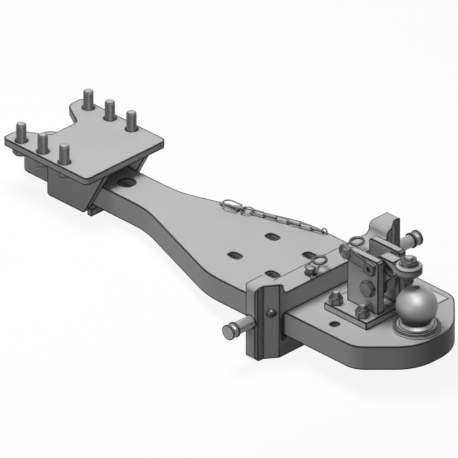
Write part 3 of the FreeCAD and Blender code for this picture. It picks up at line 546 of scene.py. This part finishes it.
def add_seam(work, start, end, out, up):
    ripples = 2 * round((end - start).length / (2 * ripple_length))
    step = (end - start) / ripples
    seam = bmesh.new()
    face = seam.faces.new([seam.verts.new(corner) for corner in seam_section(start, out, up)])
    middle = start.copy()
    for ripple in range(ripples):
        grown = bmesh.ops.extrude_face_region(seam, geom=[face, *face.edges])["geom"]
        face = next(item for item in grown if isinstance(item, bmesh.types.BMFace))
        bmesh.ops.translate(seam, verts=face.verts[:], vec=step)
        middle += step
        size = drawn_in if ripple % 2 == 0 else 1.0 / drawn_in
        bmesh.ops.transform(
            seam, matrix=Matrix.Scale(size, 4), space=Matrix.Translation(-middle),
            verts=face.verts[:])
    bmesh.ops.recalc_face_normals(seam, faces=seam.faces)
    append_shape(work, seam, Matrix.Identity(4))


print("seam: length of a ripple in mm", round(ripple_length / mm, 2))

# %% [markdown]
# The cheeks of the hold-down are welded along their inner sides, on top of the base. Those of
# the front bracket hang under the front plate and are welded along both sides.

# %% Weld seams of the cheeks
end_gap = 3 * mm


def weld(work, wall, side, out, level, up):
    low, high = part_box(wall)
    y = (low, high)[side].y
    start = Vector((low.x + end_gap, y, level))
    end = Vector((high.x - end_gap, y, level))
    add_seam(work, start, end, Vector((0, out, 0)), Vector((0, 0, up)))


seams = bmesh.new()
base_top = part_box("hold_base")[1].z
weld(seams, "hold_cheek_near", 1, 1, base_top, 1)
weld(seams, "hold_cheek_far", 0, -1, base_top, 1)
plate_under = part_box("front_plate")[0].z
weld(seams, "front_cheek_near", 1, 1, plate_under, -1)
weld(seams, "front_cheek_near", 0, -1, plate_under, -1)
weld(seams, "front_cheek_far", 0, -1, plate_under, -1)
weld(seams, "front_cheek_far", 1, 1, plate_under, -1)
finish_piece("weld_seams", seams, "frame", [plate_paint], smooth_angle=60.0)

# %% [markdown]
# The floor and the world have to look white to the camera and in reflections, and still must not
# light the part from below or wash out its shadow. The Light Path node tells these two kinds of
# ray apart, so a shader can answer each of them in its own way.

# %% Seen or lighting
def seen_directly(tree):
    path = tree.nodes.new("ShaderNodeLightPath")
    seen = Flow(tree, path.outputs["Is Camera Ray"])
    for ray in ("Is Glossy Ray", "Is Transmission Ray"):
        seen = seen.maths("MAXIMUM", Flow(tree, path.outputs[ray]))
    return seen


def stage_shader(name, middle, white_part, lighting_grey, seen_grey):
    material = bpy.data.materials.new(name)
    material.use_nodes = True
    tree = material.node_tree
    tree.nodes.clear()
    start = Flow(tree)
    seen = seen_directly(tree)
    tone = blend_colours(start, seen, grey(lighting_grey), grey(seen_grey))
    matt = start.add("ShaderNodeBsdfDiffuse", None, {"Color": tone})
    white = start.add("ShaderNodeEmission", None, {"Color": grey(1.0), "Strength": 1.0})
    ends = {0: object_point(start), 1: middle}
    away = start.add("ShaderNodeVectorMath", {"operation": "DISTANCE"}, ends, "Value")
    whiter = away.between(0.9, 2.6) * (1.0 - white_part) + white_part
    surface = start.add("ShaderNodeMixShader", None, {0: seen * whiter, 1: matt, 2: white})
    surface.feed(tree.nodes.new("ShaderNodeOutputMaterial"), "Surface")
    print("finish:", name)
    return material


floor_pale = stage_shader(
    "floor_pale", middle=(-0.5, 0.0, 0.0), white_part=0.9, lighting_grey=0.06, seen_grey=0.92)

# %% [markdown]
# The picture is taken on a plain pale floor. The part rests on the foot of its carriage and on the
# bracket at its front end, which is a little higher, so the floor slopes by the same small angle.
# Near the part the floor keeps a soft shadow, and further out it turns fully white, so that no
# horizon shows.

# %% Floor
floor_half = 6.0
floor_gap = 0.0002
yoke_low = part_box("yoke")[0]
keeper_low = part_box("front_keeper")[0]
slope = math.atan2(keeper_low.z - yoke_low.z, yoke_low.x - keeper_low.x)
lean = Matrix.Rotation(slope, 3, "Y")
floor_work = bmesh.new()
bmesh.ops.create_grid(floor_work, x_segments=1, y_segments=1, size=floor_half)
bmesh.ops.rotate(floor_work, verts=floor_work.verts, matrix=lean)
bmesh.ops.translate(
    floor_work, verts=floor_work.verts, vec=(yoke_low.x, 0.0, yoke_low.z - floor_gap))
floor_mesh = bpy.data.meshes.new("floor")
floor_work.to_mesh(floor_mesh)
floor_work.free()
floor = bpy.data.objects.new("floor", floor_mesh)
bpy.context.scene.collection.objects.link(floor)
floor_mesh.materials.append(floor_pale)
print("floor slope in degrees:", round(math.degrees(slope), 2))

# %% [markdown]
# Soft light from a large panel above gives pale tops, mid-grey sides and dark ends, as a studio
# does. Two weaker panels keep the sides from going black. The fourth panel, over the camera's
# shoulder, shows only as a reflection: it puts the highlight on the ball and on the round pins.

# %% Lamps
def panel(name, place, aim, size, power):
    lamp = bpy.data.lights.new(name, "AREA")
    lamp.shape = "SQUARE"
    lamp.size = size
    lamp.energy = power
    holder = bpy.data.objects.new(name, lamp)
    holder.location = place
    holder.rotation_euler = (Vector(aim) - Vector(place)).to_track_quat("-Z", "Y").to_euler()
    bpy.context.scene.collection.objects.link(holder)
    print("lamp:", name, "watts:", power)
    return holder


middle = (-0.5, 0.0, -0.05)
panel("top_panel", (-0.95, -0.25, 2.7), aim=(-0.5, 0.0, 0.0), size=1.4, power=78.0)
panel("side_panel", (0.1, -3.2, 0.5), aim=middle, size=1.4, power=24.0)
panel("back_panel", (-1.3, 3.0, 0.9), aim=middle, size=1.4, power=13.0)
shine = panel("shine_panel", (0.95, -0.85, 1.9), aim=(-0.1, 0.0, 0.0), size=1.3, power=62.0)
shine.visible_diffuse = False

# %% [markdown]
# The world only fills the shadows a little, while the camera and reflections see it white.

# %% World
world = bpy.data.worlds.new("studio")
bpy.context.scene.world = world
world.use_nodes = True
sky = world.node_tree
sky.nodes.clear()
sky_start = Flow(sky)
fill = sky_start.add("ShaderNodeBackground", None, {"Color": grey(1.0), "Strength": 0.025})
white = sky_start.add("ShaderNodeBackground", None, {"Color": grey(1.0), "Strength": 1.0})
both = sky_start.add("ShaderNodeMixShader", None, {0: seen_directly(sky), 1: fill, 2: white})
both.feed(sky.nodes.new("ShaderNodeOutputWorld"), "Surface")
print("world:", world.name)

# %% [markdown]
# The picture is a parallel view from 45 degrees round and 30 degrees up.
# A very long lens far away comes close to a parallel view and still lets other views fit.
# The distance follows from the lens and from how many metres the picture is wide.

# %% Camera
view_width = 0.86966
lens = 1700.0
target = Vector((-0.51276, 0.01261, -0.048))
backward = Vector((math.sqrt(0.375), -math.sqrt(0.375), 0.5))
camera_data = bpy.data.cameras.new("studio_camera")
camera_data.lens = lens
distance = view_width / 2.0 / (camera_data.sensor_width / 2.0 / lens)
camera_data.clip_start = 1.0
camera_data.clip_end = 200.0
camera = bpy.data.objects.new("studio_camera", camera_data)
camera.location = target + backward * distance
camera.rotation_euler = (-backward).to_track_quat("-Z", "Y").to_euler()
bpy.context.scene.collection.objects.link(camera)
bpy.context.scene.camera = camera
bpy.context.scene.view_settings.view_transform = "Standard"
print("camera distance:", round(distance, 2))
